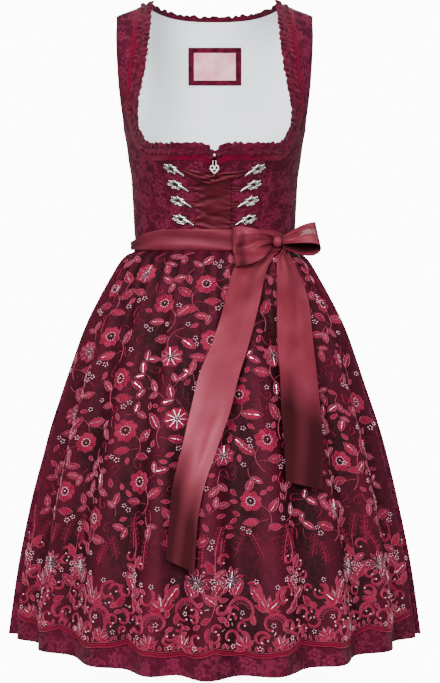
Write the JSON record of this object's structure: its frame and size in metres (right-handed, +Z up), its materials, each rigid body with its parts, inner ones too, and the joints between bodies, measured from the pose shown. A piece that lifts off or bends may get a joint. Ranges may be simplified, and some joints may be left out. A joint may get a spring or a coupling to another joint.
{
  "type": "dirndl dress with apron",
  "caption": "Sleeveless fitted bodice with laced front, full gathered skirt and a scalloped apron tied with a satin sash and bow, hollow as worn.",
  "frame": {"origin": "midway between the shoulders, at the height of the undersides of the shoulder straps, where the wearer carries the dress", "axes": "+Z up, front of the dress faces -Y, +X towards the wearer's left"},
  "size_m": [0.7184, 0.6352, 1.0929],
  "materials": {
    "brocade": "burgundy brocade with a tone-on-tone woven flower pattern",
    "lining": "smooth white lining",
    "frill": "ruched burgundy taffeta",
    "apron": "dark organza with raised embroidery, beads and sequins",
    "satin": "glossy satin ribbon",
    "silver": "polished cast silver-coloured metal",
    "patch": "woven satin, bare",
    "zip": "woven zip tape"
  },
  "bodies": {
    "dress": {"front_centre_left": "brocade", "front_centre_right": "brocade", "front_side_left": "brocade", "front_side_right": "brocade", "back_side_left": "brocade", "back_side_right": "brocade", "back_centre": "brocade", "lining_side_left": "lining", "lining_side_right": "lining", "lining_back": "lining", "patch_border": "frill", "patch_face": "patch", "frill_front_left": "frill", "frill_front_right": "frill", "frill_back": "frill", "skirt_front": "brocade", "skirt_back_left": "brocade", "skirt_back_right": "brocade", "apron": "apron", "apron_waistband": "satin", "sash_tie_back": "satin", "bow_loop_right": "satin", "bow_loop_left": "satin", "bow_knot": "satin", "sash_end_right": "satin", "sash_end_left": "satin", "hook_1_right": "silver", "hook_1_left": "silver", "hook_2_right": "silver", "hook_2_left": "silver", "hook_3_right": "silver", "hook_3_left": "silver", "hook_4_right": "silver", "hook_4_left": "silver", "lacing_top": "satin", "lacing_2": "satin", "lacing_3": "satin", "lacing_4": "satin", "lacing_hanging": "satin", "zip_tape": "zip", "zip_slider": "silver"},
    "zip_pull": {"zip_pull": "silver"}
  },
  "joints": [
    {"name": "zip_pull_swing", "type": "hinge", "parent": "dress", "child": "zip_pull", "pos_m": [0, -0.13025, -0.2589], "axis": [-1, 0, 0], "range_deg": [0, 130]}
  ]
}
